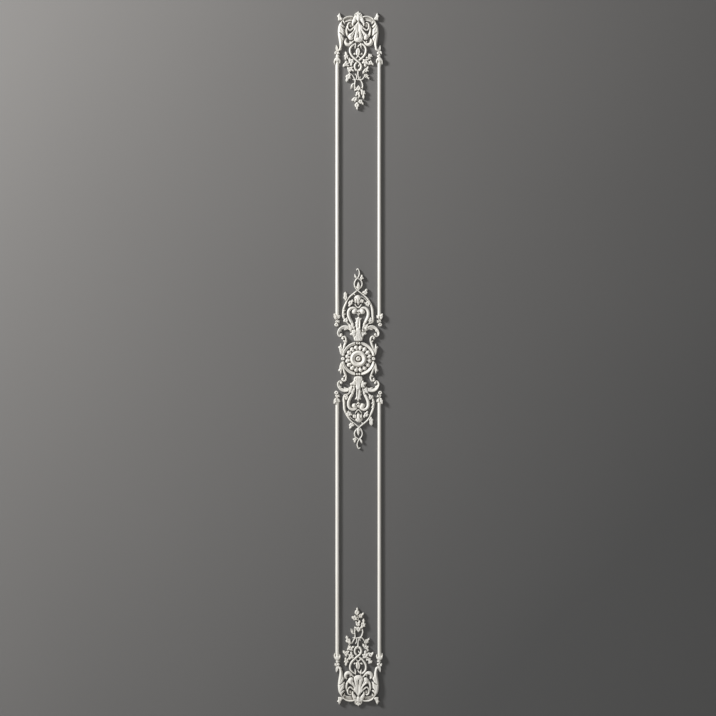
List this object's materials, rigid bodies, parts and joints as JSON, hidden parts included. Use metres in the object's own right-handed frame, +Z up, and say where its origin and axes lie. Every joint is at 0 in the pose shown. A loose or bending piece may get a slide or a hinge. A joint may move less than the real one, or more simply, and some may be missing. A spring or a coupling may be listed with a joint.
{
  "type": "ornamental relief panel",
  "caption": "Tall narrow wall relief in French panelling style: shell-topped end ornaments, a long rosette centre ornament and slim half-round rods between them.",
  "frame": {"origin": "on the wall plane, at the centre of the flat back behind the rosette", "axes": "+Z up along the panel, +Y into the wall, the relief faces -Y, +X to the right seen from the front"},
  "size_m": [0.185, 0.018, 2.6004],
  "materials": {
    "painted_casting": "cast composition or resin under an off-white satin paint"
  },
  "bodies": {
    "root": {"top_ornament": "painted_casting", "bottom_ornament": "painted_casting", "centre_ornament": "painted_casting", "rod_upper_left": "painted_casting", "rod_upper_right": "painted_casting", "rod_lower_left": "painted_casting", "rod_lower_right": "painted_casting", "finial_upper_left": "painted_casting", "finial_upper_right": "painted_casting", "finial_lower_left": "painted_casting", "finial_lower_right": "painted_casting"}
  },
  "joints": []
}
